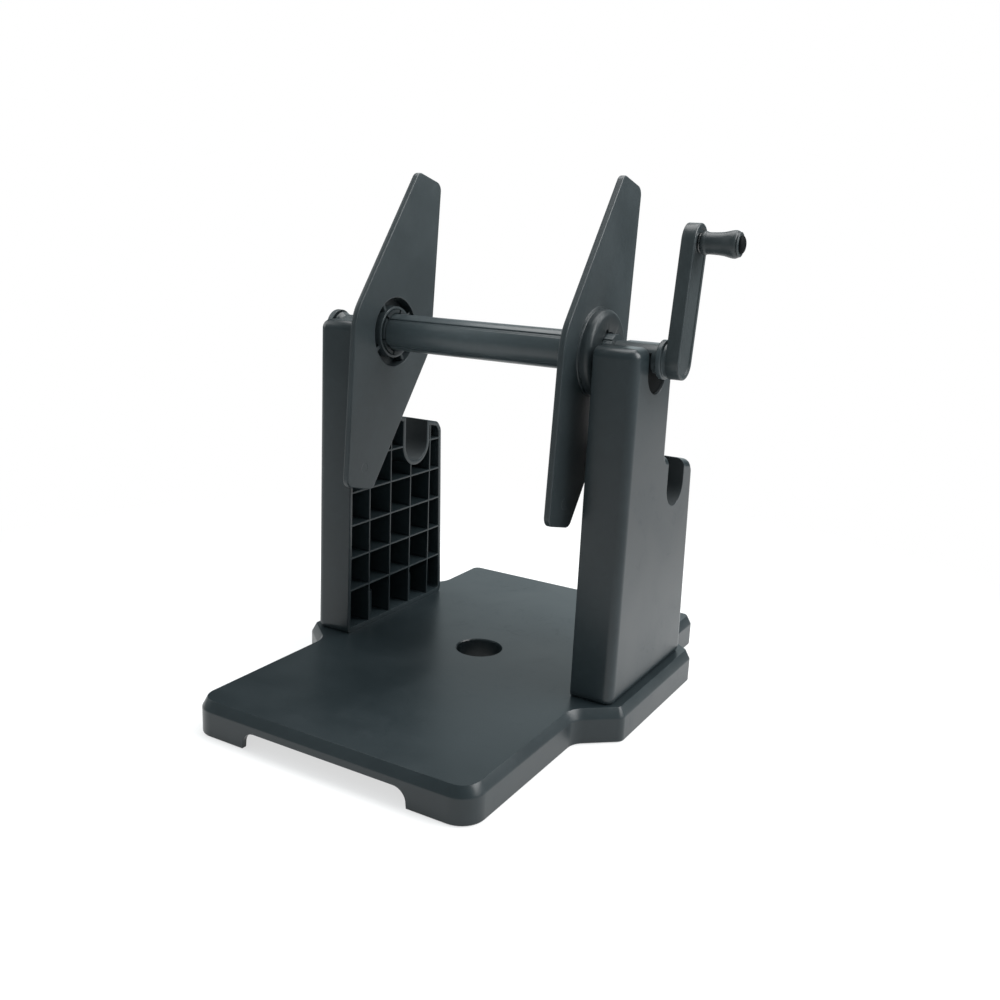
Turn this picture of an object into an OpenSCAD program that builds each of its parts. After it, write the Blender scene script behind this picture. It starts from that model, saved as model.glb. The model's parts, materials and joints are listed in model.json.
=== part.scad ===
// Hand-cranked label rewinder on a bench stand.
// A flat moulded base carries two hollow uprights that are open and ribbed on the side
// facing the roll. A round shaft lies in U notches at the top of the uprights, on two
// plastic bushes, and is turned by a crank. Two blade-shaped flanges slide along the
// shaft and hold a roll of labels between them. A second notch, lower and further back,
// rests a shaft that waits its turn.
// X runs along the shaft towards the crank, Y from the front to the back, Z up.
// The origin is on the floor in the axis of the base's round hole, below the shaft.

/* [Base] */
// Distance from the shaft's plane to the front edge
front_reach = 127.5; // [115:0.5:150]
// Distance from the shaft's plane to the back edge
back_reach = 117; // [105:0.2:140]
// Width of the base in front of and behind the uprights
tongue_w = 150; // [130:1:156]
// Height of the base, without its pads
base_h = 16.5; // [15:0.5:24]
// Wall of the base
base_wall = 2.6; // [2:0.1:4]
// Thickness of the base's top
base_top_t = 3; // [2:0.1:5]
// Border of the base outside each upright
wing_border = 6; // [4:0.5:10]
// Slant of the wings' front and back sides, in degrees
wing_angle = 40; // [20:1:45]
// Radius of the front corners, seen from above
front_corner_r = 11; // [6:0.5:16]
// Radius of the back corners, seen from above
back_corner_r = 6; // [5:0.5:16]
// Radius where a wing grows out of the tongue
plan_fillet_r = 10; // [6:0.5:14]
// Radius of the wings' outer corners
wing_corner_r = 5; // [4:0.5:8]
// How far the sloped top edge comes in
edge_in = 2.5; // [1:0.1:4]
// How far the sloped top edge comes down
edge_drop = 4.6; // [2:0.1:6]
// Radius of the round hole in the middle
hole_r = 11.7; // [8:0.1:20]
// Width of the arch in the front wall
arch_w = 88.5; // [60:0.5:100]
// Height of the arch in the front wall
arch_h = 8.4; // [6:0.1:9]
// Radius of the arch's upper corners
arch_r = 6.5; // [3:0.5:7.5]
// Spacing of the ribs under the base
base_rib_pitch = 25; // [18:0.5:40]

/* [Pads] */
// Radius of a rubber pad
pad_r = 8; // [5:0.5:10]
// Thickness of a rubber pad
pad_t = 2; // [1.5:0.1:3]
// How far a pad stands out below the base
pad_proud = 0.5; // [0.3:0.1:1]
// Distance from the base's edges to a pad's middle
pad_inset = 15; // [13:0.5:20]

/* [Uprights] */
// Clear gap between the two uprights
roll_gap = 132; // [120:1:170]
// Thickness of an upright
upright_t = 21; // [18:0.5:26]
// Height of the shaft's axis above the base
axis_h = 158.6; // [150:0.2:190]
// Height of the uprights' tops above the shaft's axis
tower_over_axis = 5.6; // [4:0.1:12]
// Front of an upright at its foot, ahead of the shaft
foot_front = 25.9; // [24:0.1:32]
// Front of an upright at its top, ahead of the shaft
tower_front = 23.7; // [20:0.1:24]
// Back of the tall part, behind the shaft
tower_back = 20.2; // [18:0.1:21]
// Back of an upright at its foot, behind the shaft
foot_back = 62.7; // [60:0.1:75]
// Height of the low part where it meets the tall part
shoulder_h = 111.1; // [106:0.1:125]
// How far the low part's top slopes down to its back corner
shoulder_fall = 7.3; // [2:0.1:9]
// Distance from the shaft's plane to the low part's back corner
shoulder_back = 55.5; // [52:0.1:56]
// Radius of the tall part's top corners
tower_corner_r = 4.6; // [4.6:0.1:8]
// Radius of the outer face's rounded edge
outer_edge_r = 4.4; // [1:0.1:4.4]
// Wall of an upright
upright_wall = 2.5; // [1.8:0.1:3]
// Thickness of the ribs in an upright
rib_t = 1.6; // [1:0.1:2.4]
// Spacing of the upright ribs
rib_pitch_y = 18.5; // [14:0.5:26]
// Spacing of the level ribs
rib_pitch_z = 17.7; // [14:0.1:26]

/* [Notches] */
// Radius of both notches
notch_r = 10.3; // [9.3:0.1:11]
// Depth of the top notch's round bottom below the shaft's axis, to its middle
notch_drop = 5.3; // [4:0.1:8]
// Wall of the troughs that line the notches
trough_wall = 2.4; // [1.6:0.1:2.6]
// Distance from the shaft's plane to the low notch
low_notch_y = 34.3; // [34:0.1:38]
// Height of the middle of the low notch's round bottom
low_notch_h = 94.9; // [88:0.1:98]

/* [Shaft] */
// Radius of the shaft
shaft_r = 9.2; // [7.6:0.1:9.6]
// Wall of the shaft's tube
shaft_wall = 2.8; // [2:0.1:3.4]
// Radius of the necks that turn in the bushes
neck_r = 6.6; // [5.8:0.1:7]
// Radius of the end collars
collar_r = 8.8; // [8:0.1:10]
// Thickness of the left end collar
end_collar_t = 3.5; // [2:0.1:6]
// Thickness of the right collar
crank_collar_t = 2.5; // [1.5:0.1:5]
// Width of the shaft's long grooves
groove_w = 2; // [1:0.1:3]
// Depth of the shaft's long grooves
groove_d = 0.5; // [0.3:0.1:1]

/* [Crank] */
// Distance from the shaft's axis to the handle's axis
crank_len = 51.3; // [35:0.1:70]
// How far the crank leans back at rest, in degrees
crank_lean = 8.4; // [-180:0.1:180]
// Thickness of the crank arm
crank_t = 6.3; // [5:0.1:9]
// Radius of the arm's end at the shaft
crank_hub_r = 8.4; // [7:0.1:12]
// Radius of the arm's end at the handle
crank_end_r = 8.4; // [6:0.1:10]
// Width of the raised border on the arm's outer face
crank_border = 1.5; // [1:0.1:2.5]
// Length of the handle, without its cap
knob_len = 17; // [14:0.1:60]
// Largest radius of the handle
knob_r = 6.4; // [5.6:0.1:12]
// Radius of the pin that the handle turns on
pin_r = 2.2; // [1.5:0.1:2.2]

/* [Flanges] */
// Distance from the shaft's axis to the ends of a flange
flange_reach = 81.6; // [70:0.1:100]
// Width of a flange at its tips
tip_w = 21.5; // [18:0.1:30]
// How far the tips are shifted to one side of the flange's long axis
tip_shift = 8.9; // [0:0.05:9]
// Half width of a flange at its waist
waist_reach = 34.2; // [32:0.1:45]
// How far along the flange its waist corners are shifted
waist_shift = 1.9; // [0:0.1:8]
// Tilt of the flanges at rest, in degrees
flange_tilt = 14; // [-180:1:180]
// Thickness of a flange
plate_t = 3; // [2:0.1:4]
// Height of the hub over the flange's outer side
hub_h = 5.9; // [4:0.1:7]
// Radius of the hub
hub_r = 20; // [19:0.1:24]
// Radius of the round recess in the hub
recess_r = 17.3; // [16.5:0.1:18]
// Outer radius of the split collet
collet_r = 11.45; // [10.8:0.05:12]
// Number of slits in a collet
slit_n = 6; // [3:1:8]
// Gap between the left hub and its upright
left_gap = 0.5; // [0.4:0.1:10]
// Gap between the right hub and its upright
right_gap = 3.4; // [0.4:0.1:10]

/* [Fits] */
// Radial play where one piece turns or slides on another
running = 0.06; // [0.03:0.01:0.08]
// Radial play where one piece is pressed or screwed into another
press = 0.04; // [0.02:0.01:0.06]
// Gap between pieces that only pass each other
clear = 0.3; // [0.2:0.05:0.4]

/* [Hidden] */
$fn = 64;
// A cut runs this far past the face that it opens
over = 1;
// Straight pieces that a rounded corner is made of, and rounded edges across their bend
corner_steps = 6;
edge_steps = 5;
plastic = "#26292c";
dark_plastic = "#17191b";
rubber = "#101112";
steel = "#9a9da0";

// Base
base_top = pad_proud + base_h;
in_x = roll_gap / 2;
out_x = in_x + upright_t;
mid_x = in_x + upright_t / 2;
wing_x = out_x + wing_border;
wing_lead = 2.5;
wing_trail = 1;
wing_run = (wing_x - tongue_w / 2) * tan(wing_angle);
hole_chamfer = 0.6;
hole_wall = 2.6;
base_rib_t = 1.8;
base_rib_lift = 9;
pad_post_wall = 1.6;
pad_seat = pad_t - pad_proud;
pad_x = tongue_w / 2 - pad_inset;
pad_front_y = -(front_reach - pad_inset);
pad_back_y = back_reach - pad_inset;

// Screws that hold the uprights
screw_r = 1.9;
screw_hole_r = screw_r + clear;
screw_head_r = 3.8;
screw_head_t = 2.6;
screw_slot_r = 1.6;
screw_slot_d = 1.4;
screw_grip = 12;
screw_seat = base_h / 2;
screw_post_wall = 1.8;
screw_boss_wall = 2.2;
screw_tip_gap = 1;
// Places of the screws behind the uprights' first rib, as shares of the ribs' spacing
screw_cell_shares = [0.5, 2.5];

// Uprights
tower_h = axis_h + tower_over_axis;
shoulder_back_h = shoulder_h - shoulder_fall;
shoulder_bevel_y = 3.3;
shoulder_bevel_z = 4.6;
// Corners stay rounder than the outer edge, which draws them in
corner_share = 1.14;
low_corner_r = outer_edge_r * corner_share;
inner_corner_r = 2;
// The rounded outline runs on this little below the base's top, so the foot is rounded too
foot_sink = 1.6;
rib_y0 = -7.5;
rib_z0 = 23.4;
// The head, with the top notch, is a solid of its own from the middle of this level rib up
split_n = 6;
split_h = rib_z0 + split_n * rib_pitch_z;
axis_z = base_top + axis_h;

// Bushes
bush_inset = 1;
bush_rise_share = 0.45;
bush_r = notch_r - clear;
bush_rise = neck_r * bush_rise_share;

// Shaft, from its middle outwards
shaft_tuck_share = 0.7;
shaft_end = in_x + bush_inset * shaft_tuck_share;
spigot_r = shaft_r - shaft_wall;
spigot_len = 24;
neck_end = out_x + clear;
flare_len = 3.2;
flare_r_share = 0.92;
flare_middle_share = 0.25;
flare_gap = 1;
flare_waist_r_share = 0.8;
collar_round = 0.8;
collar_gap = 1.7;
collar_start = out_x + collar_gap;
hub_neck_r = 7.6;
hub_neck_len = 2.1;
crank_in = collar_start + crank_collar_t + hub_neck_len;
crank_out = crank_in + crank_t;
stub_w = 8;
stub_len_share = 0.65;
stub_len = crank_t * stub_len_share;
groove_n = 4;

// Crank
knob_y = crank_len * sin(crank_lean);
knob_z = axis_z + crank_len * cos(crank_lean);
crank_bevel = 0.7;
crank_recess = 0.5;
washer_t = 0.5;
washer_r = 4.4;
knob_in = crank_out + washer_t + clear;
knob_end = knob_in + knob_len;
pin_head_share = 1.3;
pin_head_r = pin_r * pin_head_share;
pin_head_t = 1.6;
head_room = 3.4;
cap_plug = 1.3;
cap_rise = 1.6;
cap_r = 3.8;
// Cap profile: place along the cap and radius, from the handle outwards
cap_shares = [[0, 1], [0.25, 1], [0.6, 0.9], [0.86, 0.7], [1, 0.4]];
// Handle profile: place along the handle and radius, from the arm outwards
knob_shares = [
    [0, 0.75], [0.03, 0.79], [0.10, 0.79], [0.15, 0.73], [0.30, 0.73], [0.45, 0.77],
    [0.58, 0.85], [0.70, 0.95], [0.80, 1], [0.88, 0.98], [0.95, 0.87], [1, 0.7]
];

// Flanges
plate_edge = 0.6;
tip_r = 4.7;
waist_r = 25;
hub_foot_t = 0.8;
hub_foot_out = 1;
hub_round = 3;
hub_floor = 2.5;
web_t = 1.8;
web_sink = 1.5;
tube_wall = 1.5;
lip_t = 1.5;
lip_play = 0.5;
tube_r = collet_r + press;
gate_r = 2.4;
gate_d = 0.3;
gate_v = -7.8;
gate_u = -70.8;
collet_proud = 0.8;
collet_ring = 2.2;
slit_w = 1.2;
collet_bevel = 0.6;
left_face = -(in_x - left_gap - hub_h - plate_t);
right_face = in_x - right_gap - hub_h - plate_t;

// Points of the rounded corner i of an outline, drawn in by inset. Corners are given
// counter-clockwise as [x, y, radius]; the arc keeps its middle when it is drawn in.
function corner(corners, i, inset) =
    let (
        n = len(corners),
        c = corners[i],
        p = [c.x, c.y],
        before = corners[(i + n - 1) % n],
        after = corners[(i + 1) % n],
        a = p - [before.x, before.y],
        b = [after.x, after.y] - p,
        u = a / norm(a),
        v = b / norm(b),
        side = sign(u.x * v.y - u.y * v.x),
        turn = acos(u * v),
        middle = p + (v - u) / norm(v - u) * c[2] / cos(turn / 2),
        start = atan2(-side * u.x, side * u.y),
        r = c[2] - side * inset
    )
    [for (k = [0:corner_steps])
        let (angle = start + side * turn * k / corner_steps)
        middle + r * [cos(angle), sin(angle)]];

// The whole outline, drawn in by inset
function outline(corners, inset) = [for (i = [0:len(corners) - 1]) each corner(corners, i, inset)];

// Levels of a rounded edge that comes in by e and down by d below height h: [height, inset]
function round_levels(h, e, d) = [for (k = [0:edge_steps])
    let (angle = 90 * k / edge_steps)
    [h - d * (1 - sin(angle)), e * (1 - cos(angle))]];

// A slab whose outline follows the corners, drawn in at each level by that level's inset.
// Its two ends are fans round a middle point that sees every corner.
module slab(corners, levels, middle) {
    n = len(corners) * (corner_steps + 1);
    count = len(levels);
    rings = [for (level = levels) each [for (p = outline(corners, level[1])) [p.x, p.y, level[0]]]];
    ends = [[middle.x, middle.y, levels[0][0]], [middle.x, middle.y, levels[count - 1][0]]];
    last = (count - 1) * n;
    sides = [for (i = [0:count - 2], k = [0:n - 1])
        [i * n + k, (i + 1) * n + k, (i + 1) * n + (k + 1) % n, i * n + (k + 1) % n]];
    low_fan = [for (k = [0:n - 1]) [k, (k + 1) % n, count * n]];
    high_fan = [for (k = [0:n - 1]) [last + (k + 1) % n, last + k, count * n + 1]];
    polyhedron(concat(rings, ends), concat(sides, low_fan, high_fan));
}

// Stands a drawing made in the XY plane up in the YZ plane, with its height along X
module stand_up() {
    rotate([90, 0, 90]) children();
}

// Lays a turned piece along X, starting at x on the axis at y and z
module along_x(x, y, z) {
    translate([x, y, z]) rotate([0, 90, 0]) children();
}

// Base: the outline seen from above, and its hollow underside
half_plan = [
    [tongue_w / 2, -front_reach, front_corner_r],
    [tongue_w / 2, -foot_front + wing_lead - wing_run, plan_fillet_r],
    [wing_x, -foot_front + wing_lead, wing_corner_r],
    [wing_x, foot_back + wing_trail, wing_corner_r],
    [tongue_w / 2, foot_back + wing_trail + wing_run, plan_fillet_r],
    [tongue_w / 2, back_reach, back_corner_r]
];
plan = concat(half_plan,
    [for (i = [len(half_plan) - 1:-1:0]) [-half_plan[i].x, half_plan[i].y, half_plan[i][2]]]);
screw_ys = [for (cell = screw_cell_shares) rib_y0 + rib_pitch_y * cell];
rib_floor = pad_proud + base_rib_lift;

module at_screws() {
    for (x = [-mid_x, mid_x], y = screw_ys) translate([x, y, 0]) children();
}

module at_pads() {
    for (x = [-pad_x, pad_x], y = [pad_front_y, pad_back_y]) translate([x, y, 0]) children();
}

module base_ribs() {
    reach = max(front_reach, back_reach, wing_x);
    count = ceil(reach / base_rib_pitch);
    height = base_top - rib_floor - base_top_t / 2;
    for (i = [-count:count]) {
        translate([(i - 1 / 2) * base_rib_pitch - base_rib_t / 2, -reach, rib_floor])
            cube([base_rib_t, 2 * reach, height]);
        translate([-reach, i * base_rib_pitch - base_rib_t / 2, rib_floor])
            cube([2 * reach, base_rib_t, height]);
    }
}

module base_posts() {
    height = base_h - base_top_t / 2;
    translate([0, 0, pad_proud]) {
        at_screws() cylinder(r = screw_head_r + clear + screw_post_wall, h = height);
        at_pads() cylinder(r = pad_r + press + pad_post_wall, h = height);
        cylinder(r = hole_r + hole_wall, h = height);
    }
}

module base_hollow() {
    difference() {
        translate([0, 0, pad_proud - over])
            linear_extrude(base_h - base_top_t + over) polygon(outline(plan, base_wall));
        base_ribs();
        base_posts();
    }
}

// The front wall's arch, drawn from the floor up
module arch() {
    half = arch_w / 2;
    top = pad_proud + arch_h;
    round_in = half - arch_r;
    translate([0, -front_reach + base_wall + over, 0]) rotate([90, 0, 0])
        linear_extrude(base_wall + 2 * over) union() {
            translate([-half, -over]) square([arch_w, top - arch_r + over]);
            translate([-round_in, 0]) square([2 * round_in, top]);
            for (x = [-round_in, round_in]) translate([x, top - arch_r]) circle(arch_r);
        }
}

module base_plate() {
    color(plastic) difference() {
        slab(plan, [[pad_proud, 0], [base_top - edge_drop, 0], [base_top, edge_in]], [0, 0]);
        base_hollow();
        arch();
        translate([0, 0, pad_proud - over]) cylinder(r = hole_r, h = base_h + 2 * over);
        translate([0, 0, base_top - hole_chamfer])
            cylinder(r1 = hole_r, r2 = hole_r + hole_chamfer + over, h = hole_chamfer + over);
        at_screws() {
            translate([0, 0, pad_proud - over]) cylinder(r = screw_hole_r, h = base_h + 2 * over);
            translate([0, 0, pad_proud - over]) cylinder(r = screw_head_r + clear, h = screw_seat + over);
        }
        at_pads() translate([0, 0, pad_proud - over]) cylinder(r = pad_r + press, h = pad_seat + over);
    }
}

module pad(x, y) {
    color(rubber) translate([x, y, 0]) cylinder(r = pad_r, h = pad_t);
}

module front_left_pad() {
    pad(-pad_x, pad_front_y);
}

module front_right_pad() {
    pad(pad_x, pad_front_y);
}

module back_left_pad() {
    pad(-pad_x, pad_back_y);
}

module back_right_pad() {
    pad(pad_x, pad_back_y);
}

// One screw, from its head below up into the upright, with a hexagonal recess
module screw() {
    seat = pad_proud + screw_seat;
    difference() {
        union() {
            translate([0, 0, seat - screw_head_t]) cylinder(r = screw_head_r, h = screw_head_t);
            translate([0, 0, seat]) cylinder(r = screw_r, h = base_top - seat + screw_grip);
        }
        translate([0, 0, seat - screw_head_t - over])
            cylinder(r = screw_slot_r, h = screw_slot_d + over, $fn = 6);
    }
}

module upright_screws() {
    color(steel) at_screws() screw();
}

// Upright: the side profile over the base's top, from depth foot below it
function profile(foot) =
    let (
        front_lean = (foot_front - tower_front) / tower_h,
        bevel_h = shoulder_back_h - shoulder_bevel_z,
        bevel_y = shoulder_back + shoulder_bevel_y,
        back_lean = (foot_back - bevel_y) / bevel_h
    )
    [
        [-foot_front - front_lean * foot, -foot, low_corner_r],
        [foot_back + back_lean * foot, -foot, low_corner_r],
        [bevel_y, bevel_h, low_corner_r],
        [shoulder_back, shoulder_back_h, low_corner_r],
        [tower_back, shoulder_h, inner_corner_r],
        [tower_back, tower_h, tower_corner_r],
        [-tower_front, tower_h, tower_corner_r]
    ];

// A U from the middle of its round bottom up past the tower's top
module u_shape(y, z, r) {
    translate([y, z]) circle(r);
    translate([y - r, z]) square([2 * r, tower_h - z + over]);
}

module notches(r) {
    u_shape(0, axis_h - notch_drop, r);
    u_shape(low_notch_y, low_notch_h, r);
}

module rib_grid() {
    for (y = [rib_y0:rib_pitch_y:foot_back]) translate([y - rib_t / 2, 0]) square([rib_t, tower_h]);
    for (z = [rib_z0:rib_pitch_z:tower_h])
        translate([-foot_front, z - rib_t / 2]) square([foot_front + foot_back, rib_t]);
}

// The cells of the ribbed side, as an outline seen along the shaft
module cells() {
    difference() {
        polygon(outline(profile(0), upright_wall));
        rib_grid();
        notches(notch_r + trough_wall);
    }
}

// A right-hand upright between two heights over the base, with its ribs towards the roll
module upright(low, high) {
    boss_r = screw_r + press + screw_boss_wall;
    translate([in_x, 0, base_top]) difference() {
        intersection() {
            stand_up() slab(profile(foot_sink),
                concat([[0, 0]], round_levels(upright_t, outer_edge_r, outer_edge_r)), [0, shoulder_h / 2]);
            translate([-over, -foot_front - over, low])
                cube([upright_t + 2 * over, foot_front + foot_back + 2 * over, high - low]);
        }
        difference() {
            translate([-over, 0, 0]) stand_up()
                linear_extrude(upright_t - upright_wall + over) cells();
            for (y = screw_ys) translate([upright_t / 2, y, 0])
                cylinder(r = boss_r, h = screw_grip + screw_tip_gap + screw_boss_wall);
        }
        translate([-over, 0, 0]) stand_up() linear_extrude(upright_t + 2 * over) notches(notch_r);
        for (y = screw_ys) translate([upright_t / 2, y, -over])
            cylinder(r = screw_r + press, h = screw_grip + screw_tip_gap + over);
    }
}

module left_upright() {
    color(plastic) mirror([1, 0, 0]) upright(0, split_h);
}

module left_upright_head() {
    color(plastic) mirror([1, 0, 0]) upright(split_h, tower_h + over);
}

module right_upright() {
    color(plastic) upright(0, split_h);
}

module right_upright_head() {
    color(plastic) upright(split_h, tower_h + over);
}

// A bush: a saddle that fills the top notch and clips round the shaft's neck from below
module bush() {
    color(dark_plastic) translate([in_x + bush_inset, 0, axis_z]) difference() {
        stand_up() linear_extrude(upright_t - 2 * bush_inset) {
            translate([0, -notch_drop]) circle(bush_r);
            translate([-bush_r, -notch_drop]) square([2 * bush_r, notch_drop + bush_rise]);
        }
        along_x(-over, 0, 0) cylinder(r = neck_r + running, h = upright_t + 2 * over);
    }
}

module left_bush() {
    mirror([1, 0, 0]) bush();
}

module right_bush() {
    bush();
}

// Shaft: a plain tube with shallow long grooves between its two journals
module roll_shaft() {
    color(plastic) difference() {
        along_x(-shaft_end, 0, axis_z) cylinder(r = shaft_r, h = 2 * shaft_end);
        along_x(-shaft_end - over, 0, axis_z)
            cylinder(r = spigot_r + press, h = 2 * (shaft_end + over));
        for (i = [0:groove_n - 1]) translate([0, 0, axis_z]) rotate([360 * (i + 1 / 2) / groove_n, 0, 0])
            translate([-shaft_end - over, -groove_w / 2, shaft_r - groove_d])
            cube([2 * (shaft_end + over), groove_w, groove_d + over]);
    }
}

// A turned journal: the outline is given as [distance from the stand's middle, radius]
module turned(outline_points) {
    first = outline_points[0];
    last = outline_points[len(outline_points) - 1];
    points = concat([[0, first.x]], [for (p = outline_points) [p.y, p.x]], [[0, last.x]]);
    along_x(0, 0, axis_z) rotate_extrude() polygon(points);
}

// The inner end of both journals: a spigot in the tube, then the neck in the bush
spigot_and_neck = [
    [shaft_end - spigot_len, spigot_r],
    [shaft_end, spigot_r],
    [shaft_end, neck_r],
    [neck_end, neck_r]
];

// Left journal: past the neck it flares, narrows and ends in a rounded collar
module left_journal() {
    flare_end = neck_end + flare_len;
    disc_start = flare_end + flare_gap;
    disc_end = disc_start + end_collar_t;
    color(plastic) mirror([1, 0, 0]) turned(concat(spigot_and_neck, [
        [neck_end + flare_len / 2, neck_r + (collar_r * flare_r_share - neck_r) * flare_middle_share],
        [flare_end, collar_r * flare_r_share],
        [flare_end, collar_r * flare_waist_r_share],
        [disc_start, collar_r * flare_waist_r_share],
        [disc_start, collar_r],
        [disc_end - collar_round, collar_r],
        [disc_end - collar_round / 4, collar_r - collar_round / 4],
        [disc_end, collar_r - collar_round]
    ]));
}

// Right journal: past the neck a collar, a hub and a square stub that drives the crank
module right_journal() {
    collar_end = collar_start + crank_collar_t;
    color(plastic) {
        turned(concat(spigot_and_neck, [
            [collar_start, neck_r],
            [collar_start, collar_r],
            [collar_end - collar_round / 2, collar_r],
            [collar_end, collar_r - collar_round / 2],
            [collar_end, hub_neck_r],
            [crank_in, hub_neck_r]
        ]));
        translate([crank_in, 0, axis_z]) rotate([-crank_lean, 0, 0])
            translate([-over, -stub_w / 2, -stub_w / 2]) cube([stub_len + over, stub_w, stub_w]);
    }
}

// Crank arm, drawn upright from the shaft's axis and leaned back
module arm_outline(inset) {
    hull() {
        circle(crank_hub_r - inset, $fn = 32);
        translate([0, crank_len]) circle(crank_end_r - inset, $fn = 32);
    }
}

module crank_arm() {
    socket = stub_w + 2 * press;
    socket_depth = stub_len + press;
    color(plastic) translate([crank_in, 0, axis_z]) rotate([-crank_lean, 0, 0]) difference() {
        stand_up() {
            linear_extrude(crank_t - crank_bevel) arm_outline(0);
            translate([0, 0, crank_t - crank_bevel]) linear_extrude(crank_bevel) arm_outline(crank_bevel);
        }
        translate([crank_t - crank_recess, 0, 0]) stand_up()
            linear_extrude(crank_recess + over) arm_outline(crank_bevel + crank_border);
        translate([-over, -socket / 2, -socket / 2]) cube([socket_depth + over, socket, socket]);
        along_x(-over, 0, crank_len) cylinder(r = pin_r + press, h = crank_t + 2 * over);
    }
}

module handle_pin() {
    head_start = knob_end - head_room + clear;
    color(steel) {
        along_x(crank_in, knob_y, knob_z) cylinder(r = pin_r, h = head_start - crank_in);
        along_x(head_start, knob_y, knob_z) cylinder(r = pin_head_r, h = pin_head_t);
    }
}

module handle_washer() {
    color(steel) along_x(crank_out, knob_y, knob_z) difference() {
        cylinder(r = washer_r, h = washer_t);
        translate([0, 0, -over]) cylinder(r = pin_r + press, h = washer_t + 2 * over);
    }
}

module handle_knob() {
    color(plastic) along_x(knob_in, knob_y, knob_z) difference() {
        rotate_extrude() polygon(concat([[0, 0]],
            [for (s = knob_shares) [s[1] * knob_r, s[0] * knob_len]], [[0, knob_len]]));
        translate([0, 0, -over]) cylinder(r = pin_r + running, h = knob_len + 2 * over);
        translate([0, 0, knob_len - head_room])
            cylinder(r = pin_head_r + clear, h = head_room + over);
    }
}

module knob_cap() {
    plug_r = pin_head_r + clear - press;
    color(dark_plastic) along_x(knob_end, knob_y, knob_z) rotate_extrude() polygon(concat(
        [[0, -cap_plug], [plug_r, -cap_plug], [plug_r, 0]],
        [for (s = cap_shares) [s[1] * cap_r, s[0] * cap_rise]],
        [[0, cap_rise]]
    ));
}

// Flange: two straight-sided blades that meet at a rounded waist. The outline is point
// symmetric about the shaft, with its tips shifted to one side.
tip_far = tip_shift + tip_w / 2;
tip_near = tip_shift - tip_w / 2;
flange_corners = [
    [-tip_far, -flange_reach, tip_r],
    [-tip_near, -flange_reach, tip_r],
    [waist_reach, -waist_shift, waist_r],
    [tip_far, flange_reach, tip_r],
    [tip_near, flange_reach, tip_r],
    [-waist_reach, waist_shift, waist_r]
];

// The hub over the flange's outer side, as a turned outline
module hub_body() {
    top = plate_t + hub_h;
    rotate_extrude() polygon(concat(
        [[0, plate_t / 2], [hub_r + hub_foot_out, plate_t / 2], [hub_r + hub_foot_out, plate_t + hub_foot_t],
            [hub_r, plate_t + hub_foot_t]],
        [for (k = [0:edge_steps]) let (angle = 90 * k / edge_steps)
            [hub_r - hub_round * (1 - cos(angle)), top - hub_round * (1 - sin(angle))]],
        [[0, top]]
    ));
}

// A flange with its inner face at x = 0 and its hub towards +X
module flange() {
    depth = plate_t + hub_h;
    color(plastic) rotate([-flange_tilt, 0, 0]) stand_up() difference() {
        union() {
            slab(flange_corners, [[0, plate_edge], [plate_edge, 0], [plate_t - plate_edge, 0],
                [plate_t, plate_edge]], [0, 0]);
            hub_body();
        }
        difference() {
            translate([0, 0, -over]) cylinder(r = recess_r, h = depth - hub_floor + over);
            translate([0, 0, -over]) cylinder(r = tube_r + tube_wall, h = depth + over);
            for (angle = [45, 135]) rotate([0, 0, angle])
                translate([-recess_r - over, -web_t / 2, web_sink])
                cube([2 * (recess_r + over), web_t, depth]);
        }
        translate([0, 0, -over]) cylinder(r = tube_r, h = depth - lip_t + over);
        translate([0, 0, -over]) cylinder(r = shaft_r + lip_play, h = depth + 2 * over);
        translate([gate_v, gate_u, -over]) cylinder(r = gate_r, h = gate_d + over);
    }
}

// A split collet: a sleeve that slides on the shaft, slit from its inner end
module collet() {
    length = plate_t + hub_h - lip_t - press + collet_proud;
    color(dark_plastic) rotate([-flange_tilt, 0, 0]) along_x(-collet_proud, 0, 0) difference() {
        cylinder(r = collet_r, h = length);
        translate([0, 0, -over]) cylinder(r = shaft_r + running, h = length + 2 * over);
        translate([0, 0, -over]) cylinder(
            r1 = shaft_r + running + collet_bevel + over,
            r2 = shaft_r + running,
            h = collet_bevel + over
        );
        for (i = [0:slit_n - 1]) rotate([0, 0, 360 * i / slit_n])
            translate([shaft_r - over, -slit_w / 2, -over])
            cube([collet_r - shaft_r + 2 * over, slit_w, length - collet_ring + over]);
    }
}

module left_flange() {
    translate([left_face, 0, axis_z]) mirror([1, 0, 0]) flange();
}

module right_flange() {
    translate([right_face, 0, axis_z]) flange();
}

module left_collet() {
    translate([left_face, 0, axis_z]) mirror([1, 0, 0]) collet();
}

module right_collet() {
    translate([right_face, 0, axis_z]) collet();
}

base_plate();
left_upright();
left_upright_head();
right_upright();
right_upright_head();
upright_screws();
front_left_pad();
front_right_pad();
back_left_pad();
back_right_pad();
left_bush();
right_bush();
roll_shaft();
left_journal();
right_journal();
crank_arm();
handle_pin();
handle_washer();
handle_knob();
knob_cap();
left_flange();
left_collet();
right_flange();
right_collet();
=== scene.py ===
# %% [markdown]
# # A hand-cranked label rewinder
# The stand is a flat moulded base with two ribbed uprights. A round shaft lies in notches
# at their tops, a crank turns it, and two blade-shaped flanges on it hold a roll of labels.
# All that shows is black moulded plastic, so the shapes of the edges and the way that each
# face takes the light are what this lesson is about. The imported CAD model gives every
# place and size, and the new pieces are worked out as arrays of points.

import json
import math

import bpy
import numpy as np
from mathutils import Matrix


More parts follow.
